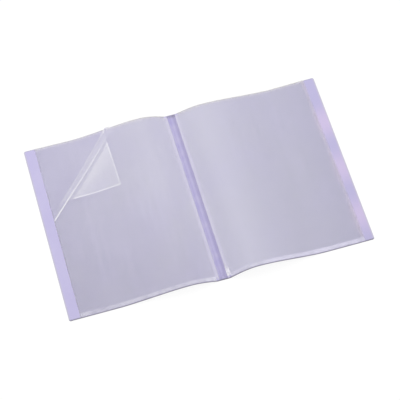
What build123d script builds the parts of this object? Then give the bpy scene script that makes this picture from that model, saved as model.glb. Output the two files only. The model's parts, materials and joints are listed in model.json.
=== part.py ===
"""A4 clear pocket display book, lying open with its pages arched beside the spine.

Millimetres. X runs across the open book, Y up the page, Z up from the table.
The origin is on the table under the middle of the spine.
"""
import os
from math import cos, pi, sqrt

from build123d import *

os.makedirs("parts", exist_ok=True)

# Cover sheet
cover_height = 310.0
cover_width = 240.0
cover_thickness = 0.5
cover_corner_radius = 3.0
spine_width = 20.0

# Folded creases between the spine and the covers
crease_radius = 0.25
crease_clearance = 0.03

# Arch of the sheets beside the spine, measured out from the crease
arch_rise = 10.0
arch_crest = 45.0
arch_turn = 105.0
arch_foot = 165.0

# Welded block of page margins on the spine
weld_width = 12.5
weld_height = 1.2
weld_end_inset = 4.0
weld_groove_width = 1.4
weld_groove_depth = 0.3
weld_groove_spacing = 6.0

# Pocket leaves
leaves_per_side = 5
leaf_inset = 2.0
leaf_width = 220.0
leaf_top_inset = 1.0
leaf_bottom_inset = 1.0
film_thickness = 0.1
pocket_gap = 0.2
leaf_clearance = 0.3
bottom_seam_width = 6.0
inner_seam_width = 3.0
outer_seam_width = 2.0
margin_thickness = 0.16

# Curled corner of the top left leaf: a roll along the lift line, and a flap that lies over the page.
# The roll stops a little short of the line's ends, where it would run out to a needle point
curl_top_reach = 136.0
curl_side_reach = 139.0
curl_radius = 9.5
curl_end_trim = 3.0

# Places that follow from the sizes
half_height = cover_height / 2
crease_x = spine_width / 2
crease_z = cover_thickness / 2
crease_gap = crease_radius + crease_clearance
crest_x = crease_x + arch_crest
turn_x = crease_x + arch_turn
foot_x = crease_x + arch_foot
outer_x = crease_x + cover_width
leaf_in_x = crease_x + leaf_inset
leaf_out_x = leaf_in_x + leaf_width
inner_seam_x = leaf_in_x + inner_seam_width
outer_seam_x = leaf_out_x - outer_seam_width
leaf_top_y = half_height - leaf_top_inset
leaf_bottom_y = leaf_bottom_inset - half_height
leaf_thickness = 2 * film_thickness + pocket_gap
leaf_pitch = leaf_thickness + leaf_clearance

# The arch is three arcs: up from the crease, over the crest, and back to the table
rise_radius = (arch_crest**2 + arch_rise**2) / (2 * arch_rise)
fall_length = arch_foot - arch_crest
fall_radii = (fall_length**2 + arch_rise**2) / (2 * arch_rise)
crown_radius = fall_radii * (arch_turn - arch_crest) / fall_length
foot_radius = fall_radii - crown_radius


def arch_height(x):
    """Height of the arched sheet's underside at a distance x from the spine's middle."""
    if x < crest_x:
        return arch_rise - rise_radius + sqrt(rise_radius**2 - (crest_x - x) ** 2)
    if x < turn_x:
        return arch_rise - crown_radius + sqrt(crown_radius**2 - (x - crest_x) ** 2)
    if x < foot_x:
        return foot_radius - sqrt(foot_radius**2 - (foot_x - x) ** 2)
    return 0.0


def arch_run(side, inner, outer, level):
    """Draws the arch from inner to outer at a height above the table, on the side -1 or 1."""
    stops = [inner]
    stops += [x for x in (inner_seam_x, crest_x, turn_x, foot_x) if inner < x < outer]
    stops += [outer]
    for start, end in zip(stops, stops[1:]):
        middle = (start + end) / 2
        points = [(side * x, level + arch_height(x)) for x in (start, middle, end)]
        if start >= foot_x:
            Line(points[0], points[2])
        else:
            ThreePointArc(*points)


def arched_sheet(side, inner, outer, level, thickness, top_y, bottom_y):
    """Adds a sheet that follows the arch to the part being built."""
    with BuildSketch(Plane.XZ.offset(-top_y)) as section:
        with BuildLine():
            arch_run(side, inner, outer, level)
            arch_run(side, inner, outer, level + thickness)
            for x in (inner, outer):
                foot = level + arch_height(x)
                Line((side * x, foot), (side * x, foot + thickness))
        make_face()
    extrude(section.sketch, amount=top_y - bottom_y, clean=False)


def leaf_level(number):
    """Height of a leaf's underside over the arch, where leaf 1 lies on top."""
    return cover_thickness + leaf_clearance + (leaves_per_side - number) * leaf_pitch


def write(piece, name):
    piece.part.label = name
    export_step(piece.part, f"parts/{name}.step")


# Covers
for side, name in ((-1, "front_cover"), (1, "back_cover")):
    with BuildPart() as cover:
        arched_sheet(side, crease_x + crease_gap, outer_x, 0, cover_thickness, half_height, -half_height)
        corners = cover.edges().filter_by(Axis.Z).group_by(Axis.X)[0 if side < 0 else -1]
        fillet(corners, radius=cover_corner_radius)
    write(cover, name)

# Spine with its two creases
with BuildPart() as spine_panel:
    with BuildSketch():
        Rectangle(spine_width - 2 * crease_gap, cover_height)
    extrude(amount=cover_thickness)
write(spine_panel, "spine_panel")

for side, name in ((-1, "front_crease"), (1, "back_crease")):
    with BuildPart() as crease:
        with BuildSketch(Plane.XZ.offset(-half_height)):
            with Locations((side * crease_x, crease_z)):
                Circle(crease_radius)
        extrude(amount=cover_height)
    write(crease, name)

# Welded block with the two grooves that the welding bars leave
with BuildPart() as spine_weld:
    with BuildSketch(Plane.XY.offset(cover_thickness)):
        Rectangle(weld_width, cover_height - 2 * weld_end_inset)
    extrude(amount=weld_height)
    with BuildSketch(Plane.XY.offset(cover_thickness + weld_height)):
        with GridLocations(weld_groove_spacing, 0, 2, 1):
            Rectangle(weld_groove_width, cover_height - 4 * weld_end_inset)
    extrude(amount=-weld_groove_depth, mode=Mode.SUBTRACT)
write(spine_weld, "spine_weld")

# Line along which the corner of the top left leaf lifts, from the leaf's top edge to its outer edge
corner = Vector(-leaf_out_x, leaf_top_y)
lift_top = corner + Vector(curl_top_reach, 0)
lift_side = corner - Vector(0, curl_side_reach)


def cut_corner():
    """Cuts the lifted corner off the part being built."""
    with BuildSketch() as lifted:
        with BuildLine():
            Polyline(corner, lift_top, lift_side, close=True)
        make_face()
    extrude(lifted.sketch, amount=cover_height, mode=Mode.SUBTRACT)


# Pocket leaves: two films welded together along three sides, open at the top
for side, side_name in ((-1, "left"), (1, "right")):
    for number in range(1, leaves_per_side + 1):
        leaf_name = f"{side_name}_leaf_{number}"
        level = leaf_level(number)
        is_curled = side < 0 and number == 1
        films = (("back_film", level), ("front_film", level + film_thickness + pocket_gap))
        for film_name, film_level in films:
            with BuildPart() as film:
                arched_sheet(
                    side, leaf_in_x, leaf_out_x, film_level, film_thickness, leaf_top_y, leaf_bottom_y
                )
                if is_curled:
                    cut_corner()
            write(film, f"{leaf_name}_{film_name}")

        seam_level = level + film_thickness
        seam_top_y = leaf_bottom_y + bottom_seam_width
        strips = (
            (leaf_in_x, leaf_out_x, seam_top_y, leaf_bottom_y),
            (leaf_in_x, inner_seam_x, leaf_top_y, seam_top_y),
            (outer_seam_x, leaf_out_x, leaf_top_y, seam_top_y),
        )
        solids = []
        for inner, outer, top_y, bottom_y in strips:
            with BuildPart() as strip:
                arched_sheet(side, inner, outer, seam_level, pocket_gap, top_y, bottom_y)
                if is_curled:
                    cut_corner()
            solids += strip.solids()
        seams = Compound(label=f"{leaf_name}_seams", children=solids)
        export_step(seams, f"parts/{leaf_name}_seams.step")

# Binding margins: each leaf's film runs down from its pocket to the weld on the spine
weld_half = cover_height / 2 - weld_end_inset
for side, side_name in ((-1, "left"), (1, "right")):
    solids = []
    for number in range(1, leaves_per_side + 1):
        layer = leaves_per_side - number + 0.5
        weld_z = cover_thickness + weld_height * layer / leaves_per_side
        leaf_z = leaf_level(number) + leaf_thickness / 2 + arch_height(leaf_in_x)
        half = margin_thickness / 2
        with BuildPart() as margin:
            with BuildSketch(Plane.XZ.offset(-weld_half)):
                with BuildLine():
                    Polyline(
                        (side * weld_width / 2, weld_z - half),
                        (side * leaf_in_x, leaf_z - half),
                        (side * leaf_in_x, leaf_z + half),
                        (side * weld_width / 2, weld_z + half),
                        close=True,
                    )
                make_face()
            extrude(amount=2 * weld_half)
        solids += margin.solids()
    margins = Compound(label=f"{side_name}_margins", children=solids)
    export_step(margins, f"parts/{side_name}_margins.step")

# Curled corner: the two films of the top left leaf roll up along the lift line and turn back over the page
along = (lift_side - lift_top).normalized()
inward = Vector(0, 0, 1).cross(along)
curl_length = (lift_side - lift_top).length
curl_half = leaf_thickness / 2
curl_sections = 11
edge_steps = 8
trimmed_length = curl_length - 2 * curl_end_trim
corner_along = curl_top_reach**2 / curl_length
corner_reach = curl_top_reach * curl_side_reach / curl_length


def page_place(distance):
    """Point on the lift line at a distance from the leaf's top edge, in the middle of the leaf."""
    place = lift_top + along * distance
    return place + Vector(0, 0, leaf_level(1) + curl_half + arch_height(-place.X))


def head_distance(turn):
    """How far along the roll the leaf's top edge lies, once the film has turned so far."""
    return turn * curl_radius * curl_top_reach / curl_side_reach


def side_distance(turn):
    """How far along the roll the leaf's outer edge lies, once the film has turned so far."""
    return curl_length - turn * curl_radius * curl_side_reach / curl_top_reach


def edge_curve(distance_at):
    """Points of a free edge round the outer face of the roll: distance along it and height."""
    points = []
    for step in range(edge_steps + 1):
        turn = pi * step / edge_steps
        distance = distance_at(turn)
        height = (curl_radius + curl_half) * (1 - cos(turn)) - curl_half
        points.append(Vector(distance, page_place(distance).Z + height))
    return points


head_curve = edge_curve(head_distance)
side_curve = edge_curve(side_distance)
trim_margin = Vector(0, leaf_thickness)

# The flap lies over the page at the height of the roll's top, with its films closer together
flap_thickness = leaf_thickness - film_thickness
flap_level = leaf_level(1) + 2 * curl_radius + (leaf_thickness - flap_thickness) / 2

with BuildPart() as flap:
    arched_sheet(-1, leaf_in_x, leaf_out_x, flap_level, flap_thickness, leaf_top_y, leaf_bottom_y)
    flap_tip = lift_top + along * corner_along + inward * (corner_reach - pi * curl_radius)
    flap_start = lift_top + along * head_distance(pi) - inward * leaf_thickness
    flap_end = lift_top + along * side_distance(pi) - inward * leaf_thickness
    with BuildSketch():
        with BuildLine():
            Polyline(flap_start, flap_end, flap_tip, close=True)
        make_face()
    extrude(amount=cover_height, mode=Mode.INTERSECT)

with BuildPart() as curled_corner:
    for section in range(curl_sections):
        place = page_place(curl_end_trim + trimmed_length * section / (curl_sections - 1))
        with BuildSketch(Plane(place, x_dir=inward, z_dir=along)):
            with BuildLine():
                for radius in (curl_radius - curl_half, curl_radius + curl_half):
                    ThreePointArc(
                        (0, curl_radius - radius), (-radius, curl_radius), (0, curl_radius + radius)
                    )
                Line((0, -curl_half), (0, curl_half))
                Line((0, 2 * curl_radius - curl_half), (0, 2 * curl_radius + curl_half))
            make_face()
    loft(ruled=True)
    with BuildSketch(Plane(lift_top, x_dir=along, z_dir=-inward)):
        with BuildLine():
            Spline(*head_curve)
            Spline(*side_curve)
            Polyline(
                head_curve[-1], head_curve[-1] + trim_margin, side_curve[-1] + trim_margin, side_curve[-1]
            )
            Polyline(head_curve[0], (head_curve[0].X, 0), (side_curve[0].X, 0), side_curve[0])
        make_face()
    extrude(amount=cover_width, both=True, mode=Mode.INTERSECT)
    add(flap.part)
write(curled_corner, "left_leaf_1_curled_corner")
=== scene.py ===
# %% [markdown]
# # A clear pocket display book, lying open
# The book is one sheet of translucent lavender plastic, folded at a spine, with clear pocket leaves
# welded into the fold. The measured model gives every size and place. Blender adds what thin plastic
# does: it drapes, it curls, it hazes over where many films lie together, and its cut edges catch the
# light. Everything is in metres, with X across the open book, Y up the page and Z up from the table.

# %% Load the measured model
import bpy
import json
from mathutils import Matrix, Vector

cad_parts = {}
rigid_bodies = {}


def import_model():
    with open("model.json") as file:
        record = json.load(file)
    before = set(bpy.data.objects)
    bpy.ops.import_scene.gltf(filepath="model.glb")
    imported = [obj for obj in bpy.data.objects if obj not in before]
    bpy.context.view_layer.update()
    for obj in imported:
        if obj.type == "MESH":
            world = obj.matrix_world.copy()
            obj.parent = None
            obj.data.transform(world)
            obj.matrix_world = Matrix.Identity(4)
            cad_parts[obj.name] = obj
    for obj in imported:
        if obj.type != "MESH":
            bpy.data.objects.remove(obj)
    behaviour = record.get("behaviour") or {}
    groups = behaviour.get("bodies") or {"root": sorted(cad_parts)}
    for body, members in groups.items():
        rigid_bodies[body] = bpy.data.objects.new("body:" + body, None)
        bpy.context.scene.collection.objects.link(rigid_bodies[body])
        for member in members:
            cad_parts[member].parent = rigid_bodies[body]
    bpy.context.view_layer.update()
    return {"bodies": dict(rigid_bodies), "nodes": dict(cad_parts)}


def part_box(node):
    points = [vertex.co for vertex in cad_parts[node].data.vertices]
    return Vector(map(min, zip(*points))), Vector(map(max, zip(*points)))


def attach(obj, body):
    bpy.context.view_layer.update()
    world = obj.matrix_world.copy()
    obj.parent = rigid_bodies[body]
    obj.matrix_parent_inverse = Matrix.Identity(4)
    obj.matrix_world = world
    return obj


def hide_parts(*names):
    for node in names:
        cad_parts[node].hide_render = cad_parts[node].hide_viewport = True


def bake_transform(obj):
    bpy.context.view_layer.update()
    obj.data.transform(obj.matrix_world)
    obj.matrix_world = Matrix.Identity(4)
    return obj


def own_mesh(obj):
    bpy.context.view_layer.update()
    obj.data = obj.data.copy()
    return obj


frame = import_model()

# %% Import what the lesson needs
import json
from math import atan2, cos, degrees, hypot, pi, radians, sin

import bmesh
import bpy
from mathutils import Matrix, Vector
from mathutils.noise import noise

scene = bpy.context.scene
MM = 0.001
print("Blender", bpy.app.version_string)

# %% [markdown]
# ## Sizes that the pieces share
# A thin sheet in this book is placed by where it starts, where it ends and how high it lies over the
# cover. These sizes could be typed in again, but they can be read from the boxes of the solids, so that
# both models agree. The sheets lie flat near their outer edge, so the lowest point of a film's box is its
# level in the stack.

# %% Read the shared sizes
cover_low, cover_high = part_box("back_cover")
crease_low, crease_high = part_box("back_crease")
film_low, film_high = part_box("right_leaf_1_front_film")
weld_low, weld_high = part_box("spine_weld")

half_height = cover_high.y
outer_x = cover_high.x
cover_in_x = cover_low.x
crease_x = (crease_low.x + crease_high.x) / 2
cover_thickness = crease_high.z - crease_low.z
leaf_in_x = film_low.x
leaf_out_x = film_high.x
leaf_bottom_y = film_low.y
leaf_top_y = film_high.y
leaf_count = sum(name.startswith("right_leaf_") for name in frame["bodies"])


def level(node):
    """How high a node of the stack lies over the flat part of the cover."""
    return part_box(node)[0].z


film_thickness = level("right_leaf_1_seams") - level("right_leaf_1_back_film")
pocket_gap = level("right_leaf_1_front_film") - level("right_leaf_1_seams")
leaf_thickness = 2 * film_thickness + pocket_gap
print(leaf_count, "leaves a side, each", round(leaf_thickness / MM, 2), "mm thick")

# %% [markdown]
# ## Camera
# The book is seen from above and a little from the left, from far enough away that its sides stay nearly
# parallel. A camera could be pointed by a constraint, but a direction and a distance say it in two lines,
# and the turn follows from the direction.

# %% Place the camera
azimuth = radians(-16.37)
elevation = radians(63.42)
camera_distance = 2.25375
camera_aim = Vector((2.5 * MM, -11.7 * MM, 3.5 * MM))
lens_length = 126.0

backward = Vector((sin(azimuth) * cos(elevation), -cos(azimuth) * cos(elevation), sin(elevation)))
camera_data = bpy.data.cameras.new("camera")
camera_data.lens = lens_length
camera_data.sensor_width = 36.0
camera = bpy.data.objects.new("camera", camera_data)
camera.location = camera_aim + backward * camera_distance
camera.rotation_euler = backward.to_track_quat("Z", "Y").to_euler()
scene.collection.objects.link(camera)
scene.camera = camera
scene.view_settings.view_transform = "Standard"
print("camera at", [round(value, 4) for value in camera.location])

# %% [markdown]
# ## Building nodes
# Every finish here is a small node tree. Adding nodes by hand takes a line for each node, link and value,
# so one helper makes a node, sets its options, and fills each input with a value or a link.

# %% A helper that adds a node
def add_node(tree, kind, inputs=None, **options):
    """Adds a node; an input is given a value, or the output socket that feeds it."""
    made = tree.nodes.new(kind)
    for name, value in options.items():
        setattr(made, name, value)
    for name, value in (inputs or {}).items():
        if isinstance(value, bpy.types.NodeSocket):
            tree.links.new(value, made.inputs[name])
        else:
            made.inputs[name].default_value = value
    return made


def add_math(tree, operation, first, second=0.0, third=0.0):
    """Adds a Math node and returns its result."""
    made = add_node(tree, "ShaderNodeMath", {0: first, 1: second, 2: third}, operation=operation)
    return made.outputs[0]


def new_material(name):
    """An empty node material and its tree."""
    made = bpy.data.materials.new(name)
    made.use_nodes = True
    made.node_tree.nodes.clear()
    return made, made.node_tree


def show_surface(tree, shader):
    """Ends a material's tree with this shader."""
    add_node(tree, "ShaderNodeOutputMaterial", {"Surface": shader.outputs[0]})


def shade(red, green, blue):
    """A colour as a screen shows it, from 0 to 255, turned into the linear values that nodes take."""
    parts = [value / 255 for value in (red, green, blue)]
    linear = [part / 12.92 if part < 0.04045 else ((part + 0.055) / 1.055) ** 2.4 for part in parts]
    return (*linear, 1.0)


print("node helpers ready")

# %% [markdown]
# ## Studio
# Such books are photographed on pure white with very soft light. The table is a white sheet, which throws
# light back under lifted films. To the camera it is turned into pure white with only a faint shadow.
# Several lamps could light the book evenly, but a white room does it better, and one wide soft lamp gives
# the light a direction. It stands behind and above the head of the page, so its light falls off a little
# towards the foot.

# %% White room
room_fill = 0.8

room = bpy.data.worlds.new("white_room")
room.use_nodes = True
room.node_tree.nodes.clear()
rays = add_node(room.node_tree, "ShaderNodeLightPath")
seen = add_math(room.node_tree, "MAXIMUM", rays.outputs["Is Camera Ray"], rays.outputs["Is Glossy Ray"])
seen = add_math(room.node_tree, "MAXIMUM", seen, rays.outputs["Is Transmission Ray"])
strength = add_math(room.node_tree, "MAXIMUM", seen, room_fill)
white_air = add_node(room.node_tree, "ShaderNodeBackground", {"Color": (1, 1, 1, 1), "Strength": strength})
add_node(room.node_tree, "ShaderNodeOutputWorld", {"Surface": white_air.outputs[0]})
scene.world = room
print("room fill", room_fill)

# %% White table
table_size = 8.0
table_gap = 0.1 * MM
table_white = 0.75
shadow_tone = 0.12
table_glow = 0.905

table_finish, tree = new_material("white_table")
is_seen = add_node(tree, "ShaderNodeLightPath").outputs["Is Camera Ray"]
glow = add_math(tree, "MULTIPLY", is_seen, table_glow)
tone = add_math(tree, "MULTIPLY_ADD", is_seen, shadow_tone - table_white, table_white)
matt = add_node(tree, "ShaderNodeBsdfDiffuse", {"Color": tone})
shine = add_node(tree, "ShaderNodeEmission", {"Color": (1, 1, 1, 1), "Strength": glow})
both = add_node(tree, "ShaderNodeAddShader", {0: matt.outputs[0], 1: shine.outputs[0]})
show_surface(tree, both)

table_mesh = bmesh.new()
bmesh.ops.create_grid(table_mesh, x_segments=1, y_segments=1, size=table_size / 2)
bmesh.ops.translate(table_mesh, vec=(0, 0, -table_gap), verts=table_mesh.verts)
table_data = bpy.data.meshes.new("table")
table_mesh.to_mesh(table_data)
table_mesh.free()
table_data.materials.append(table_finish)
table = bpy.data.objects.new("table", table_data)
scene.collection.objects.link(table)
print("table", table_size, "m wide")

# %% Soft lamp behind the head of the page
lamp_place = Vector((0.05, 1.1, 1.7))
lamp_width = 1.6
lamp_power = 14.5

lamp_data = bpy.data.lights.new("softbox", "AREA")
lamp_data.shape = "SQUARE"
lamp_data.size = lamp_width
lamp_data.energy = lamp_power
lamp = bpy.data.objects.new("softbox", lamp_data)
lamp.location = lamp_place
lamp.rotation_euler = lamp_place.to_track_quat("Z", "Y").to_euler()
scene.collection.objects.link(lamp)
print("lamp at", list(lamp_place))

# %% [markdown]
# ## Seeing through many films
# A ray through the middle of a page crosses ten films and the cover, and each film has two faces. Cycles
# stops following a see-through ray after eight faces unless it is told otherwise, which would turn the
# pages black.

# %% Let light through the whole stack
clear_faces = 96
scene.cycles.transparent_max_bounces = clear_faces
print("see-through faces allowed:", scene.cycles.transparent_max_bounces)

# %% [markdown]
# ## How the sheets drape
# A new book doesn't lie flat when it is opened: the welded spine holds the sheets down, so they rise
# beside it in an arch and come down again before the outer edge. The arch isn't the same all along: on
# the left it is higher at the head of the page, on the right at the foot, and the outer corners stay a
# little off the table. A cloth simulation could find such a shape, but stiff plastic follows so simple a
# curve that a formula is steadier, and one formula for all sheets keeps them in order.

# %% One formula for every sheet
arch_crest = 45 * MM
arch_foot = 165 * MM
edge_rise_start = 150 * MM
crest_height = {"left": (12.0 * MM, 15.5 * MM), "right": (17.0 * MM, 11.0 * MM)}
edge_rise = {"left": (0.5 * MM, 1.0 * MM), "right": (0.0, 3.5 * MM)}


def ease(share):
    """A smooth step from 0 to 1."""
    share = min(max(share, 0.0), 1.0)
    return share * share * (3 - 2 * share)


def between(ends, share):
    """The value that lies this share of the way from the first end to the second."""
    return ends[0] + (ends[1] - ends[0]) * share


def sheet_lift(x, y):
    """Height of the draped cover's underside over the table."""
    side = "left" if x < 0 else "right"
    up_page = (y + half_height) / (2 * half_height)
    out = max(abs(x) - crease_x, 0.0)
    if out < arch_crest:
        arch = sin(pi / 2 * out / arch_crest)
    else:
        arch = 1 - ease((out - arch_crest) / (arch_foot - arch_crest))
    rise = ease((out - edge_rise_start) / (outer_x - crease_x - edge_rise_start))
    return between(crest_height[side], up_page) * arch + between(edge_rise[side], up_page) * rise


crest_x = crease_x + arch_crest
print("arch over the table in mm:", [
    round(sheet_lift(x, y) / MM, 1) for x in (-crest_x, crest_x) for y in (-half_height, half_height)
])

# %% [markdown]
# ## Making a sheet
# Each sheet starts as a flat grid over its rectangle. The grid is draped by the formula and then given
# its thickness with bmesh's solidify, so that the finished mesh is a closed shell with real edges. A
# Solidify modifier would give the same shell, but the folded corner is bent after its shell is closed.

# %% Helpers for sheets
def flat_sheet(x_ends, y_ends, columns, rows):
    """A grid over a rectangle of the page, at height 0."""
    sheet = bmesh.new()
    bmesh.ops.create_grid(sheet, x_segments=columns, y_segments=rows, size=0.5)
    size = (x_ends[1] - x_ends[0], y_ends[1] - y_ends[0], 1)
    middle = (sum(x_ends) / 2, sum(y_ends) / 2, 0)
    bmesh.ops.scale(sheet, vec=size, verts=sheet.verts)
    bmesh.ops.translate(sheet, vec=middle, verts=sheet.verts)
    return sheet


def drape(sheet, height):
    """Lays a flat sheet on the arch, at a height over the cover's underside."""
    for point in sheet.verts:
        point.co.z += sheet_lift(point.co.x, point.co.y) + height


def thicken(sheet, thickness):
    """Closes a sheet into a shell that grows upwards from where it lies."""
    bmesh.ops.recalc_face_normals(sheet, faces=sheet.faces)
    if sum(face.normal.z for face in sheet.faces) < 0:
        bmesh.ops.reverse_faces(sheet, faces=sheet.faces)
    bmesh.ops.solidify(sheet, geom=sheet.faces, thickness=-thickness)


print("sheet helpers ready")

# %% A helper that finishes a piece
sharp_angle = radians(40)


def new_piece(name, sheet, finish, nodes, is_clear=False):
    """Turns a bmesh into an object with a finish, standing for these nodes of the model.
    A clear piece lets all light through to what lies under it, lamp light and room light alike."""
    data = bpy.data.meshes.new(name)
    sheet.to_mesh(data)
    sheet.free()
    data.materials.append(finish)
    data.shade_smooth()
    data.set_sharp_from_angle(angle=sharp_angle)
    piece = bpy.data.objects.new(name, data)
    piece.visible_shadow = not is_clear
    piece.visible_diffuse = not is_clear
    scene.collection.objects.link(piece)
    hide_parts(*nodes)
    return piece


print("edges steeper than", round(degrees(sharp_angle)), "degrees stay sharp")

# %% [markdown]
# ## Closing the book
# When a cover closes, the real sheets give way and lie flatter. The covers and leaves turn as stiff bodies in
# the model, and each sheet here rides on its body and turns with it unchanged.


def ride_and_flatten(piece, body):
    """Carries a piece on a body, and gives the piece a mesh of its own."""
    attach(piece, body)
    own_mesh(piece)


# %% [markdown]
# ## Grain and streaks
# Two effects come back in several finishes. The cover sheet is rolled against a satin cylinder, which
# leaves a very fine grain and soft clouds of tone. Cast film has faint streaks in the direction in which
# it was drawn, here up the page. Each effect is a node group, so that every finish can use it at its own
# scale.

# %% Start a node group
def new_group(name, inputs, outputs):
    """A shader node group with number inputs and outputs, and its two end nodes."""
    group = bpy.data.node_groups.new(name, "ShaderNodeTree")
    for socket, value in inputs.items():
        made = group.interface.new_socket(socket, in_out="INPUT", socket_type="NodeSocketFloat")
        made.default_value = value
    for socket in outputs:
        group.interface.new_socket(socket, in_out="OUTPUT", socket_type="NodeSocketFloat")
    return group, group.nodes.new("NodeGroupInput"), group.nodes.new("NodeGroupOutput")


print("group helper ready")

# %% Satin grain of the cover sheet
grain_group, given, result = new_group(
    "satin grain", {"Grain per metre": 1400.0, "Clouds per metre": 14.0}, ("Grain", "Clouds")
)
place = add_node(grain_group, "ShaderNodeTexCoord").outputs["Object"]
fine = add_node(grain_group, "ShaderNodeTexNoise", {
    "Vector": place, "Scale": given.outputs["Grain per metre"], "Detail": 2.0, "Roughness": 0.6,
})
broad = add_node(grain_group, "ShaderNodeTexNoise", {
    "Vector": place, "Scale": given.outputs["Clouds per metre"], "Detail": 3.0,
})
grain_group.links.new(fine.outputs[0], result.inputs["Grain"])
grain_group.links.new(broad.outputs[0], result.inputs["Clouds"])
print("group:", grain_group.name)

# %% Streaks of drawn film
streak_stretch = (1.0, 0.05, 1.0)
streak_group, given, result = new_group(
    "film streaks", {"Streaks per metre": 120.0, "Clouds per metre": 9.0}, ("Streaks", "Clouds")
)
place = add_node(streak_group, "ShaderNodeTexCoord").outputs["Object"]
drawn = add_node(streak_group, "ShaderNodeMapping", {"Vector": place, "Scale": streak_stretch})
lines = add_node(streak_group, "ShaderNodeTexNoise", {
    "Vector": drawn.outputs[0], "Scale": given.outputs["Streaks per metre"], "Detail": 4.0,
})
broad = add_node(streak_group, "ShaderNodeTexNoise", {
    "Vector": place, "Scale": given.outputs["Clouds per metre"], "Detail": 2.0,
})
streak_group.links.new(lines.outputs[0], result.inputs["Streaks"])
streak_group.links.new(broad.outputs[0], result.inputs["Clouds"])
print("group:", streak_group.name)

# %% Helpers that use the groups
noise_low = 0.3
noise_high = 0.7


def add_group(tree, group, **values):
    """Places a node group in a material, with its own values."""
    made = add_node(tree, "ShaderNodeGroup", node_tree=group)
    for name, value in values.items():
        made.inputs[name.replace("_", " ")].default_value = value
    return made.outputs


def add_range(tree, value, low, high):
    """Spreads a noise, which keeps near its middle, over a range."""
    made = add_node(tree, "ShaderNodeMapRange", {
        "Value": value, "From Min": noise_low, "From Max": noise_high, "To Min": low, "To Max": high,
    })
    return made.outputs[0]


def add_mix(tree, share, first, second):
    """Mixes two colours."""
    made = add_node(tree, "ShaderNodeMix", data_type="RGBA")
    for name, value in (("Factor_Float", share), ("A_Color", first), ("B_Color", second)):
        socket = next(entry for entry in made.inputs if entry.identifier == name)
        if isinstance(value, bpy.types.NodeSocket):
            tree.links.new(value, socket)
        else:
            socket.default_value = value
    return next(entry for entry in made.outputs if entry.identifier == "Result_Color")


print("noise is taken to run from", noise_low, "to", noise_high)

# %% [markdown]
# ## Cover finish
# The cover is a half-clear lavender sheet with a satin face. Glass would be the physical way to let light
# through, but it is slow and noisy for so thin a sheet: a surface that is mostly opaque looks the same on a
# white table. Its edges get tones of their own: a deep band along the foot, a narrower, paler band along the
# head, and a little grey along the outer sides. Along the outer edge of the back cover a faint blush comes
# and goes, as it does where clear films lie loosely on a sheet and tint the light.

# %% Tones of the cover sheet
cover_pale = shade(201, 195, 230)
cover_deep = shade(193, 186, 226)
blush_pale = shade(207, 193, 228)
blush_deep = shade(189, 183, 221)
foot_edge = shade(124, 121, 136)
head_edge = shade(180, 177, 194)
side_edge = shade(200, 196, 214)
head_tone_width = 1.6 * MM
foot_tone_width = 3.0 * MM
side_tone_width = 3.5 * MM
blush_length = 88 * MM
blush_place = 69 * MM
blush_end = 125 * MM
blush_width = 30 * MM
print("the blush comes back every", round(blush_length / MM), "mm")

# %% Where on the page
def add_place(tree):
    """The place on the object: across the book and up the page."""
    place = add_node(tree, "ShaderNodeTexCoord").outputs["Object"]
    parts = add_node(tree, "ShaderNodeSeparateXYZ", {0: place}).outputs
    return parts["X"], parts["Y"]


def add_rise(tree, value, start, end, low=0.0, high=1.0):
    """Goes smoothly from low to high while a value goes from start to end."""
    made = add_node(tree, "ShaderNodeMapRange", {
        "Value": value, "From Min": start, "From Max": end, "To Min": low, "To Max": high,
    }, interpolation_type="SMOOTHSTEP")
    return made.outputs[0]


def add_blush(tree, across, up_page):
    """A share that comes and goes along the outer edge and ends before the head corner."""
    turn = add_math(tree, "MULTIPLY", add_math(tree, "SUBTRACT", up_page, blush_place), 2 * pi / blush_length)
    wave = add_math(tree, "MULTIPLY_ADD", add_math(tree, "COSINE", turn), 0.5, 0.5)
    below_head = add_rise(tree, up_page, blush_end, blush_end - blush_width)
    at_edge = add_rise(tree, across, outer_x - blush_width, outer_x - blush_width / 2)
    return add_math(tree, "MULTIPLY", add_math(tree, "MULTIPLY", wave, below_head), at_edge)


print("place helpers ready")

# %% Lavender cover sheet
cover_alpha = 0.93
cover_roughness = (0.42, 0.56)
cover_shine = 0.35
grain_strength = 0.04
grain_depth = 0.05 * MM


def cover_finish(name, pale, deep, is_blushed=False):
    """Satin lavender sheet with its own tones along its edges."""
    made, tree = new_material(name)
    grain = add_group(tree, grain_group)
    across, up_page = add_place(tree)
    from_spine = add_math(tree, "ABSOLUTE", across)
    cloud = add_blush(tree, across, up_page) if is_blushed else add_range(tree, grain["Clouds"], 0.0, 1.0)
    colour = add_mix(tree, cloud, deep, pale)
    at_side = add_rise(tree, from_spine, outer_x - side_tone_width, outer_x)
    at_head = add_rise(tree, up_page, half_height - head_tone_width, half_height)
    at_foot = add_rise(tree, up_page, foot_tone_width - half_height, -half_height)
    for share, tone in ((at_side, side_edge), (at_head, head_edge), (at_foot, foot_edge)):
        colour = add_mix(tree, share, colour, tone)
    bump = add_node(tree, "ShaderNodeBump", {
        "Height": grain["Grain"], "Strength": grain_strength, "Distance": grain_depth,
    })
    shader = add_node(tree, "ShaderNodeBsdfPrincipled", {
        "Base Color": colour,
        "Roughness": add_range(tree, grain["Grain"], *cover_roughness),
        "Normal": bump.outputs[0],
        "Alpha": cover_alpha,
        "Specular IOR Level": cover_shine,
    })
    show_surface(tree, shader)
    return made


lavender_sheet = cover_finish("lavender_sheet", cover_pale, cover_deep)
blushed_sheet = cover_finish("blushed_sheet", blush_pale, blush_deep, True)
print("finishes:", lavender_sheet.name, blushed_sheet.name)

# %% [markdown]
# ## Covers
# Each cover is one grid from the crease to the outer edge. Its two free corners are rounded with a bevel
# of the corner points, while the grid is still flat, and then it is draped. Rounding the draped sheet
# would work too, but the corners would then lean with the sheet.

# %% Front and back cover
corner_radius = 3 * MM
corner_segments = 6
cover_columns = 60
cover_rows = 48


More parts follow.
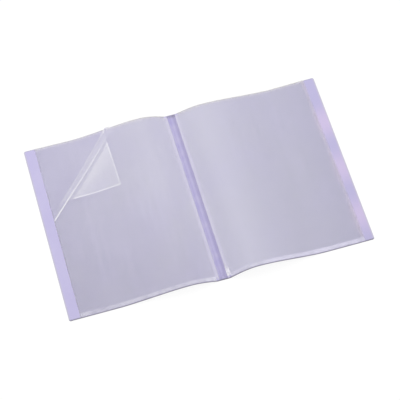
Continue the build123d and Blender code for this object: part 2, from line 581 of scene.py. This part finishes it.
def make_cover(sign, name, finish):
    """Makes one cover; sign is the direction from the spine to it."""
    ends = sorted((sign * cover_in_x, sign * outer_x))
    sheet = flat_sheet(ends, (-half_height, half_height), cover_columns, cover_rows)
    free_x = sign * outer_x
    corners = [
        point for point in sheet.verts
        if abs(point.co.x - free_x) < MM and abs(abs(point.co.y) - half_height) < MM
    ]
    bmesh.ops.bevel(
        sheet, geom=corners, offset=corner_radius, offset_type="OFFSET", segments=corner_segments,
        profile=0.5, affect="VERTICES", material=-1,
    )
    drape(sheet, 0.0)
    thicken(sheet, cover_thickness)
    piece = new_piece(f"{name}_sheet", sheet, finish, [name])
    ride_and_flatten(piece, name)
    print(piece.name, len(piece.data.polygons), "faces")


make_cover(-1, "front_cover", lavender_sheet)
make_cover(1, "back_cover", blushed_sheet)

# %% [markdown]
# ## Spine and creases
# The spine panel and the two creases could be made again as sheets, but they are already the right shape
# in the model, so they stay and only take a finish. Where a sheet is folded it whitens a little, so they
# get a paler version of the lavender.

# %% Dress the spine
crease_pale = shade(214, 209, 236)
crease_deep = shade(202, 196, 230)
folded_sheet = cover_finish("folded_sheet", crease_pale, crease_deep)


def dress(node, finish):
    """Gives a solid of the model a finish."""
    slots = frame["nodes"][node].data.materials
    slots.clear()
    slots.append(finish)


dress("spine_panel", folded_sheet)
dress("front_crease", folded_sheet)
dress("back_crease", folded_sheet)
print("spine panel and creases dressed")

# %% [markdown]
# ## Welded block
# All page margins are fused to the spine in one hot pressed strip. It looks deeper than the cover, because it
# is many layers thick and has no air in it. The two welding bars leave a groove each, and the hot plastic
# sets with a slight wave. The strip squeezes out a little beyond the bars on all sides. Its head end is
# darkened with painted shade, a painted shadow line runs down its right part, and its foot end is mottled. A
# block could be grooved and bevelled, but a grid gives the wave too: its heights are set across the strip,
# and solidify closes it downwards.

# %% Finish of the welded block
weld_pale = shade(181, 175, 209)
weld_deep = shade(165, 158, 204)
# The third colour is a painted shadow for the line down the strip's right part, and it also tints the mottled
# spots at the foot. The fourth is painted shade for the head end.
weld_shade_and_spots = shade(152, 145, 184)
weld_head_shade = shade(122, 117, 142)
side_shadow = (-0.2 * weld_high.x, 0.8 * weld_high.x)
side_shadow_share = 0.65
head_shadow = (half_height - 9 * MM, half_height - 3 * MM)
head_shadow_share = 0.9
head_mottle = (0.3, 1.1)
mottled_foot = 26 * MM
spot_edge = (0.48, 0.62)
weld_roughness = (0.26, 0.42)
wave_strength = 0.3
wave_depth = 0.2 * MM

weld_finish, tree = new_material("fused_margins")
grain = add_group(tree, grain_group, Grain_per_metre=450.0, Clouds_per_metre=60.0)
across, up_page = add_place(tree)
right_side = add_rise(tree, across, *side_shadow, high=side_shadow_share)
head_end = add_rise(tree, up_page, *head_shadow, high=head_shadow_share)
weld_colour = add_mix(tree, add_range(tree, grain["Clouds"], 0.0, 1.0), weld_deep, weld_pale)
weld_colour = add_mix(tree, right_side, weld_colour, weld_shade_and_spots)
head_end = add_math(tree, "MULTIPLY", head_end, add_range(tree, grain["Clouds"], *head_mottle))
weld_colour = add_mix(tree, head_end, weld_colour, weld_head_shade)
near_foot = add_rise(tree, up_page, mottled_foot - half_height, -half_height)
spots = add_math(tree, "MULTIPLY", add_rise(tree, grain["Grain"], *spot_edge), near_foot)
weld_colour = add_mix(tree, spots, weld_colour, weld_shade_and_spots)
weld_bump = add_node(tree, "ShaderNodeBump", {
    "Height": grain["Clouds"], "Strength": wave_strength, "Distance": wave_depth,
})
weld_shader = add_node(tree, "ShaderNodeBsdfPrincipled", {
    "Base Color": weld_colour,
    "Roughness": add_range(tree, grain["Grain"], *weld_roughness),
    "Normal": weld_bump.outputs[0],
})
show_surface(tree, weld_shader)
print("finish:", weld_finish.name)

# %% Shape of the welded block
groove_out = 3.0 * MM
groove_half = 0.9 * MM
groove_depth = 0.35 * MM
shoulder = 1.2 * MM
shoulder_drop = 0.5 * MM
wave_height = 0.12 * MM
weld_overrun = 2.5 * MM
weld_spread = 0.6 * MM
weld_columns = 50
weld_rows = 150
waves_along = 60.0
waves_across = 240.0
weld_depth_share = 0.5


def weld_top(x, y):
    """Height of the welded block's top face."""
    half_width = weld_high.x + weld_spread
    groove = max(0.0, 1 - abs(abs(x) - groove_out) / groove_half)
    edge = ease((abs(x) - half_width + shoulder) / shoulder)
    wave = noise(Vector((x * waves_across, y * waves_along, 0)))
    return weld_high.z - groove_depth * ease(groove) - shoulder_drop * edge + wave_height * (wave - 1)


weld_end = weld_high.y + weld_overrun
weld_side = weld_high.x + weld_spread
weld_sheet = flat_sheet((-weld_side, weld_side), (-weld_end, weld_end), weld_columns, weld_rows)
for point in weld_sheet.verts:
    point.co.z = weld_top(point.co.x, point.co.y)
weld_fall = weld_high.z - shoulder_drop - wave_height - weld_low.z
thicken(weld_sheet, -weld_depth_share * weld_fall)
weld_piece = new_piece("fused_margin_block", weld_sheet, weld_finish, ["spine_weld"])
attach(weld_piece, "spine")
print(weld_piece.name, len(weld_piece.data.polygons), "faces")

# %% [markdown]
# ## Clear film
# The film is clear, but not quite: each face hides a few hundredths of what is behind it, with a grey veil.
# Five pockets are twenty faces, and together they turn the lavender cover into the soft grey of the pages.
# The veil's colour carries painted light: it is painted lighter beside the spine, as a painted sheen of the
# lamp on the arch, and painted darker towards the outer edges and the left foot, as painted shade. At the
# open head it is a little warmer. Light that is really scattered in thin film would take very many bounces,
# so the veil's colour is mixed from the place on the page instead.

# %% Colour of the veil over the page
# A painted sheen makes the veil lighter beside the spine; painted shade makes it darker towards the outer
# edges and the left foot.
veil_spine_sheen = shade(206, 207, 210)
veil_outer_shade = shade(168, 169, 175)
veil_foot_shade = shade(146, 147, 147)
veil_head = shade(214, 214, 198)
foot_shade_start = 60 * MM
foot_shade_shares = (0.1, 0.55)
head_width = 8 * MM


def add_page_veil(tree):
    """Colour of the veil at this place of the page, with its painted sheen and painted shade."""
    across, up_page = add_place(tree)
    outwards = add_node(tree, "ShaderNodeMapRange", {
        "Value": add_math(tree, "ABSOLUTE", across), "From Min": leaf_in_x, "From Max": leaf_out_x,
    }).outputs[0]
    veil = add_mix(tree, outwards, veil_spine_sheen, veil_outer_shade)
    on_left = add_rise(tree, across, leaf_in_x, -crest_x)
    near_foot = add_rise(tree, up_page, foot_shade_start, -half_height, *foot_shade_shares)
    veil = add_mix(tree, add_math(tree, "MULTIPLY", on_left, near_foot), veil, veil_foot_shade)
    at_head = add_rise(tree, up_page, half_height - head_width, half_height)
    return add_mix(tree, at_head, veil, veil_head)


print("the veil goes from the spine outwards over", round((leaf_out_x - leaf_in_x) / MM), "mm")

# %% [markdown]
# ## Film finishes
# Seen at a grazing angle, as on a roll or a fold, a film hides more and shines, which a Layer Weight gives.
# On the folded corner the veil is also uneven: it is strong along the line where the film lifts, along the
# cut edges and at a glint on the crown of the roll by the head edge. Nodes could find those lines from the
# place, but the script knows them when it folds the mesh, so it leaves the strength there as an attribute of
# the points. Where the strength is high the veil's colour goes to white, so these bright lines and the glint
# are painted highlights.

# %% Clear film finishes
# This white is a painted highlight: strong veil gains turn the film's colour to it.
highlight_white = shade(250, 249, 253)
white_gains = (1.5, 6.0)
cloud_spread = (0.85, 1.15)
streak_spread = (0.94, 1.06)
roughness_spread = (0.85, 1.15)
grazing_power = 4.0
film_shine = 0.3


def film_finish(name, veil, veil_colour, grazing_veil, roughness, gain_name=None):
    """Clear film. The veil is the share that one face hides, seen straight on, and an attribute may raise it.
    Without a colour of its own the film takes that of the page."""
    made, tree = new_material(name)
    streaks = add_group(tree, streak_group)
    uneven = add_range(tree, streaks["Clouds"], *cloud_spread)
    drawn = add_range(tree, streaks["Streaks"], *streak_spread)
    straight = add_math(tree, "MULTIPLY", add_math(tree, "MULTIPLY", uneven, drawn), veil)
    colour = veil_colour or add_page_veil(tree)
    if gain_name:
        gain = add_node(tree, "ShaderNodeAttribute", attribute_name=gain_name).outputs["Fac"]
        straight = add_math(tree, "MULTIPLY", straight, gain)
        colour = add_mix(tree, add_rise(tree, gain, *white_gains), colour, highlight_white)
    facing = add_node(tree, "ShaderNodeLayerWeight", {"Blend": 0.5}).outputs["Facing"]
    grazing = add_math(tree, "POWER", facing, grazing_power)
    hidden = add_math(tree, "ADD", straight, add_math(tree, "MULTIPLY", grazing, grazing_veil))
    smooth, dull = (roughness * spread for spread in roughness_spread)
    shader = add_node(tree, "ShaderNodeBsdfPrincipled", {
        "Base Color": colour,
        "Roughness": add_range(tree, streaks["Streaks"], smooth, dull),
        "Alpha": hidden,
        "Specular IOR Level": film_shine,
    })
    show_surface(tree, shader)
    return made


flap_veil = shade(236, 235, 241)
margin_veil = shade(213, 211, 222)
veil_layer = "fold_veil"
page_film = film_finish("page_film", veil=0.037, veil_colour=None, grazing_veil=0.05, roughness=0.3)
lifted_film = film_finish(
    "lifted_film", veil=0.12, veil_colour=flap_veil, grazing_veil=0.5, roughness=0.22, gain_name=veil_layer,
)
margin_film = film_finish(
    "margin_film", veil=0.08, veil_colour=margin_veil, grazing_veil=0.2, roughness=0.25, gain_name=veil_layer,
)
print("finishes:", page_film.name, lifted_film.name, margin_film.name)

# %% [markdown]
# ## Pocket leaves
# A pocket is two films, welded to each other along the foot and both sides and open at the head. A leaf
# could be one thin box, but no paper would fit into that, so both films are draped grids of their own. On
# the right, the leaves slide outwards a little one under the other, as they do when a bound stack is bent
# over an arch, so their outer edges show as several fine lines. They also hang a little askew, so the
# strip of cover beside them is wider at the head than at the foot.

# %% Places of the leaves
right_start = -1.5 * MM
right_slip = 1.0 * MM
right_skew = 1.5 * MM
fan_step = 0.25 * MM
film_columns = 56
film_rows = 28


def leaf_edge(side, number):
    """How far out a leaf reaches from the spine's middle."""
    slip = right_start + right_slip * (number - 1) if side == "right" else 0.0
    return leaf_out_x + slip


def leaf_fan(x, number):
    """How much further the outer part of a leaf stands off the cover, more for the upper leaves."""
    return fan_step * (leaf_count - number) * ease((abs(x) - crest_x) / (leaf_out_x - crest_x))


def drape_leaf(sheet, number, height):
    """Drapes a sheet of a leaf, fanned out with its leaf and on the right a little askew."""
    for point in sheet.verts:
        out = max(point.co.x - leaf_in_x, 0.0) / (leaf_out_x - leaf_in_x)
        point.co.x -= right_skew * out * point.co.y / half_height
    drape(sheet, height)
    for point in sheet.verts:
        point.co.z += leaf_fan(point.co.x, number)


def bound_height(side, number):
    """Height at which a leaf is bound beside the spine."""
    low = level(f"{side}_leaf_{number}_back_film")
    return low + leaf_thickness / 2 + sheet_lift(leaf_in_x, 0.0)


print("bound heights in mm:", [round(bound_height("right", k + 1) / MM, 2) for k in range(leaf_count)])

# %% [markdown]
# ## Line of the lifted corner
# The outer head corner of the top left leaf is picked up and folded back over the page. The flat part of
# that leaf ends at a straight line across the corner. A boolean could take the corner off, but for a
# straight cut a bisect plane is enough: it cuts the grid there and clears what is beyond.

# %% Cut along the lift line
curl_top_reach = 136 * MM
curl_side_reach = 139 * MM

corner = Vector((-leaf_out_x, leaf_top_y, 0))
lift_top = corner + Vector((curl_top_reach, 0, 0))
lift_side = corner - Vector((0, curl_side_reach, 0))
lift_length = (lift_side - lift_top).length
lift_along = (lift_side - lift_top).normalized()
lift_out = Vector((lift_along.y, -lift_along.x, 0))


def cut_sheet(sheet, place, away):
    """Cuts a sheet at a plane and clears the part on the far side."""
    geometry = sheet.verts[:] + sheet.edges[:] + sheet.faces[:]
    bmesh.ops.bisect_plane(sheet, geom=geometry, plane_co=place, plane_no=away, clear_outer=True)


print("lift line", round(lift_length / MM, 1), "mm long")

# %% Films of every leaf
def is_lifted(side, number):
    """Whether this leaf is the one with the lifted corner."""
    return side == "left" and number == 1


def make_film(side, sign, number, which):
    """Makes the front or back film of a leaf."""
    node = f"{side}_leaf_{number}_{which}_film"
    ends = sorted((sign * leaf_in_x, sign * leaf_edge(side, number)))
    sheet = flat_sheet(ends, (leaf_bottom_y, leaf_top_y), film_columns, film_rows)
    if is_lifted(side, number):
        cut_sheet(sheet, lift_top, lift_out)
    drape_leaf(sheet, number, level(node))
    thicken(sheet, film_thickness)
    piece = new_piece(f"{side}_leaf_{number}_{which}_sheet", sheet, page_film, [node], True)
    ride_and_flatten(piece, f"{side}_leaf_{number}")


for side, sign in (("left", -1), ("right", 1)):
    for number in range(1, leaf_count + 1):
        make_film(side, sign, number, "back")
        make_film(side, sign, number, "front")
print(4 * leaf_count, "films made")

# %% [markdown]
# ## Welded edges of the pockets
# A hot bar presses the two films together in a narrow band. The band at the foot is wide and pale, with
# fine pressed lines, and the one along each side is hardly wider than a pencil line. On the left the five
# side welds lie exactly over each other and read as one deep line. Beside the spine the foot weld is
# pressed harder on the left, and crinkled and clearer on the right. Colour on the films could stand for
# the bands, but bands of their own between the films have real edges and real lines.

# %% Weld band finishes
spine_change = {"left": (45 * MM, 14 * MM), "right": (120 * MM, 40 * MM)}
spine_strength = {"left": 2.2, "right": 0.3}
band_clouds = (0.2, 1.8)
band_roughness = (0.25, 0.4)


def band_finish(name, colour, cover_share, foot_side=None):
    """Milky welded film. Its pressed lines come from its shape, and a foot weld changes near the spine."""
    made, tree = new_material(name)
    streaks = add_group(tree, streak_group, Streaks_per_metre=400.0, Clouds_per_metre=90.0)
    clearest, milkiest = (cover_share * spread for spread in band_clouds)
    hidden = add_range(tree, streaks["Clouds"], clearest, milkiest)
    if foot_side:
        out = add_math(tree, "ABSOLUTE", add_place(tree)[0])
        change = add_rise(tree, out, *spine_change[foot_side], 1.0, spine_strength[foot_side])
        hidden = add_math(tree, "MULTIPLY", hidden, change)
    shader = add_node(tree, "ShaderNodeBsdfPrincipled", {
        "Base Color": colour,
        "Roughness": add_range(tree, streaks["Streaks"], *band_roughness),
        "Alpha": hidden,
    })
    show_surface(tree, shader)
    return made


foot_bands = {
    "left": band_finish("left_foot_band", shade(232, 230, 246), cover_share=0.05, foot_side="left"),
    "right": band_finish("right_foot_band", shade(230, 226, 250), cover_share=0.11, foot_side="right"),
}
inner_band = band_finish("inner_band", shade(210, 208, 222), cover_share=0.015)
side_band = band_finish("side_band", shade(160, 152, 190), cover_share=0.06)
pink_band = band_finish("pink_band", shade(206, 192, 214), cover_share=0.04)
folded_band = film_finish(
    "folded_band", veil=0.1, veil_colour=flap_veil, grazing_veil=0.1, roughness=0.3, gain_name=veil_layer,
)
print("finishes:", inner_band.name, side_band.name, pink_band.name, folded_band.name)

# %% Weld bands of every leaf
foot_band_width = 6 * MM
inner_band_width = 3 * MM
outer_band_width = {"left": 2 * MM, "right": 4 * MM}
foot_counts = (film_columns, 20)
inner_counts = (12, film_rows)
outer_counts = (8, film_rows)
pressed_line = 0.06 * MM
pressed_spacing = 1.5 * MM


def press_lines(sheet, axis):
    """Presses fine lines along a band; axis is the direction across it."""
    for point in sheet.verts:
        point.co.z += pressed_line * cos(2 * pi * point.co[axis] / pressed_spacing)


def make_band(side, number, part, x_ends, y_ends, counts, axis, finish, nodes):
    """Makes one weld band of a leaf, between its two films."""
    sheet = flat_sheet(sorted(x_ends), y_ends, *counts)
    press_lines(sheet, axis)
    if is_lifted(side, number):
        cut_sheet(sheet, lift_top, lift_out)
    seam_node = f"{side}_leaf_{number}_seams"
    drape_leaf(sheet, number, level(seam_node) + pressed_line)
    thicken(sheet, pocket_gap / 2)
    piece = new_piece(f"{side}_leaf_{number}_{part}_weld", sheet, finish, nodes, True)
    ride_and_flatten(piece, f"{side}_leaf_{number}")


for side, sign in (("left", -1), ("right", 1)):
    for number in range(1, leaf_count + 1):
        inner = sign * leaf_in_x
        outer = sign * leaf_edge(side, number)
        band_top = leaf_bottom_y + foot_band_width
        page = (band_top, leaf_top_y)
        inner_ends = (inner, inner + sign * inner_band_width)
        outer_ends = (outer - sign * outer_band_width[side], outer)
        outer_finish = side_band if side == "left" else pink_band
        make_band(
            side, number, "foot", (inner, outer), (leaf_bottom_y, band_top), foot_counts, 1,
            foot_bands[side], [f"{side}_leaf_{number}_seams"],
        )
        make_band(side, number, "inner", inner_ends, page, inner_counts, 0, inner_band, [])
        make_band(side, number, "outer", outer_ends, page, outer_counts, 0, outer_finish, [])
print(6 * leaf_count, "weld bands made")

# %% [markdown]
# ## Folded corner
# Film that is picked up at a corner and let go turns over in a roll, and what lies beyond the roll comes
# back over the page as a flap that hangs down a little at its tip. A cloth simulation could be led into
# such a fold, but film bends and hardly stretches, so a point's place follows from its distance to the
# lift line: first round the roll, then out along the flap. Towards the outer edge of the page the roll is
# pressed narrower, almost to a crease.

# %% Shape of the fold
curl_radius = 9.5 * MM
roll_bulge = (curl_radius, 3.0 * MM)
flap_sag = 2.0 * MM
corner_reach = curl_top_reach * curl_side_reach / lift_length
flap_run = corner_reach - pi * curl_radius


def fold_place(along, beyond, offset):
    """Where a point beyond the lift line goes: its reach from that line, and its height over the page."""
    turn = min(beyond / curl_radius, pi)
    run = max(beyond - pi * curl_radius, 0.0)
    reach = between(roll_bulge, along / lift_length) * sin(turn) - run
    height = curl_radius * (1 - cos(turn)) - flap_sag * (run / flap_run) ** 2
    return reach - offset * sin(turn), height + offset * cos(turn)


print("flap reaches", round(flap_run / MM, 1), "mm beyond the roll")

# %% Strength of the veil over the fold
line_width = (2.4 * MM, 8.0 * MM)
line_start = 70 * MM
lift_line_gain = (1.2, 5.0)
edge_line_width = 2.4 * MM
free_edge_gain = 1.5
roll_gain = 0.25
flap_gain = (1.15, 0.4)
flap_dims_at = (0.95, 0.35)
flap_start = (6.0 * MM, 10.5 * MM)
flap_start_width = 2.5 * MM
glint_gain = 6.0
glint_width = 4.0 * MM


def fold_gain(flat, along, beyond):
    """How strong the film's veil is at a point of the corner, given its place before the fold."""
    edge_distance = min(flat.x + leaf_out_x, leaf_top_y - flat.y)
    run = max(beyond - pi * curl_radius, 0.0)
    start = between(flap_start, ease(along / line_start))
    on_flap = ease((run - start) / flap_start_width)
    dimmed = ease(run / flap_run / between(flap_dims_at, along / lift_length))
    line_strength = between(lift_line_gain, ease(2 * along / lift_length - 1)) * ease(along / line_start)
    lift_line = line_strength * ease(1 - beyond / between(line_width, along / lift_length))
    free_edge = free_edge_gain * ease(1 - edge_distance / edge_line_width) * on_flap
    quarter_turn = pi / 2 * curl_radius
    at_crown = ease(1 - abs(beyond - quarter_turn) / quarter_turn)
    # The glint is a painted highlight where the roll's crown meets the head edge.
    glint = glint_gain * ease(1 - (leaf_top_y - flat.y) / glint_width) * at_crown
    return between((roll_gain, between(flap_gain, dimmed)), on_flap) + lift_line + free_edge + glint


def fold_corner(sheet, height, offset):
    """Folds a flat sheet beyond the lift line; offset is its place in the thickness of the leaf."""
    gain = sheet.verts.layers.float.new(veil_layer)
    for point in sheet.verts:
        flat = point.co - lift_top
        along = flat.dot(lift_along)
        beyond = max(flat.dot(lift_out), 0.0)
        point[gain] = fold_gain(point.co, along, beyond)
        reach, up = fold_place(along, beyond, offset + point.co.z)
        place = lift_top + lift_along * along + lift_out * reach
        place.z = sheet_lift(place.x, place.y) + leaf_fan(place.x, 1) + height + up
        point.co = place


print("lift line", lift_line_gain[1], "times the veil of the flap at its outer end")

# %% Films and edge weld of the folded corner
corner_columns = 150
corner_rows = 120
leaf_middle = level("left_leaf_1_back_film") + leaf_thickness / 2
film_offset = (film_thickness + pocket_gap) / 2
edge_counts = (4, 160)


def corner_sheet():
    """A flat triangle beyond the lift line, with its rows along that line."""
    sheet = flat_sheet((0, lift_length), (0, corner_reach), corner_columns, corner_rows)
    turn = Matrix((
        (lift_along.x, lift_out.x, 0, lift_top.x),
        (lift_along.y, lift_out.y, 0, lift_top.y),
        (0, 0, 1, 0),
        (0, 0, 0, 1),
    ))
    bmesh.ops.transform(sheet, matrix=turn, verts=sheet.verts)
    cut_sheet(sheet, corner, Vector((0, 1, 0)))
    cut_sheet(sheet, corner, Vector((-1, 0, 0)))
    return sheet


def finish_corner(sheet, name, offset, thickness, finish, nodes):
    """Gives the flat sheet its thickness, folds it and binds it to the top left leaf."""
    thicken(sheet, thickness)
    fold_corner(sheet, leaf_middle, offset)
    bmesh.ops.recalc_face_normals(sheet, faces=sheet.faces)
    piece = new_piece(name, sheet, finish, nodes, True)
    ride_and_flatten(piece, "left_leaf_1")
    print(piece.name, len(piece.data.polygons), "faces")


finish_corner(
    corner_sheet(), "left_leaf_1_folded_front", film_offset, film_thickness, lifted_film,
    ["left_leaf_1_curled_corner"],
)
finish_corner(corner_sheet(), "left_leaf_1_folded_back", -film_offset, film_thickness, lifted_film, [])

edge_ends = (-leaf_out_x, -leaf_out_x + outer_band_width["left"])
edge_sheet = flat_sheet(edge_ends, (lift_side.y, leaf_top_y), *edge_counts)
cut_sheet(edge_sheet, lift_top, -lift_out)
finish_corner(edge_sheet, "left_leaf_1_folded_weld", 0.0, pocket_gap / 2, folded_band, [])

# %% [markdown]
# ## Page margins
# Between its pocket and the welded block, each leaf has a narrow margin of film that bends up out of the
# weld. Seen from above, five margins over each other make a pale line on either side of the block. Near the
# foot the right ones are crumpled, and sharp creases there shine white with painted highlights. The margins
# could be one sheet with the films of their leaves, but they bend when a cover closes and the leaves don't.
# So they are pieces of their own.

# %% Margins on both sides
margin_columns = 14
margin_rows = 90
margin_sink = 0.4 * MM
ripple_height = 0.35 * MM
ripples_along = 150.0
ripples_across = 220.0
ripple_step = 3.1
ripple_reach = 30 * MM
crumple_reach = 24 * MM
# On the right margins the creases near the foot are painted white highlights.
sparkle_gain = 8.0
creases_per_turn = 10


def margin_height(x, y, number, low_ends):
    """Height of a margin on its way from the block to its pocket."""
    share = (abs(x) - low_ends[0]) / (leaf_in_x - low_ends[0])
    side = "left" if x < 0 else "right"
    pocket = level(f"{side}_leaf_{number}_back_film") + leaf_thickness / 2
    pocket += sheet_lift(leaf_in_x if x > 0 else -leaf_in_x, y)
    near_foot = ease(1 - (y + half_height) / ripple_reach)
    ripple = noise(Vector((abs(x) * ripples_across, y * ripples_along, number * ripple_step)))
    bend = ease(share) * 0.5 + share * 0.5
    return between((low_ends[1], pocket), bend) + ripple * ripple_height * near_foot * sin(pi * share)


def crumple_and_sparkle(x, y, number):
    """Strength of the veil on a margin; on the right, creases fan out from the foot end of the block, painted
    as white highlights.
    """
    out = x - weld_high.x
    up = y - weld_low.y
    near_end = ease(1 - hypot(out, up) / crumple_reach)
    crease = ease(cos(creases_per_turn * atan2(up, out) + number))
    return 1.0 + (sparkle_gain * crease * near_end if x > 0 else 0.0)


def make_margins(side, sign):
    """Makes the margins of one side as one piece of several strips."""
    strips = bmesh.new()
    for number in range(1, leaf_count + 1):
        layer = (leaf_count - number + 0.5) / leaf_count
        start = (weld_high.x - margin_sink, between((weld_low.z, weld_high.z - shoulder_drop), layer))
        ends = sorted((sign * start[0], sign * leaf_in_x))
        strip = flat_sheet(ends, (weld_low.y, weld_high.y), margin_columns, margin_rows)
        gain = strip.verts.layers.float.new(veil_layer)
        for point in strip.verts:
            point[gain] = crumple_and_sparkle(point.co.x, point.co.y, number)
            point.co.z = margin_height(point.co.x, point.co.y, number, start)
        thicken(strip, film_thickness)
        held = bpy.data.meshes.new("margin_strip")
        strip.to_mesh(held)
        strip.free()
        strips.from_mesh(held)
        bpy.data.meshes.remove(held)
    piece = new_piece(f"{side}_margin_films", strips, margin_film, [f"{side}_margins"], True)
    start = (sign * weld_high.x, 0, 0)
    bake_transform(piece)
    print(piece.name, len(piece.data.polygons), "faces")


make_margins("left", -1)
make_margins("right", 1)
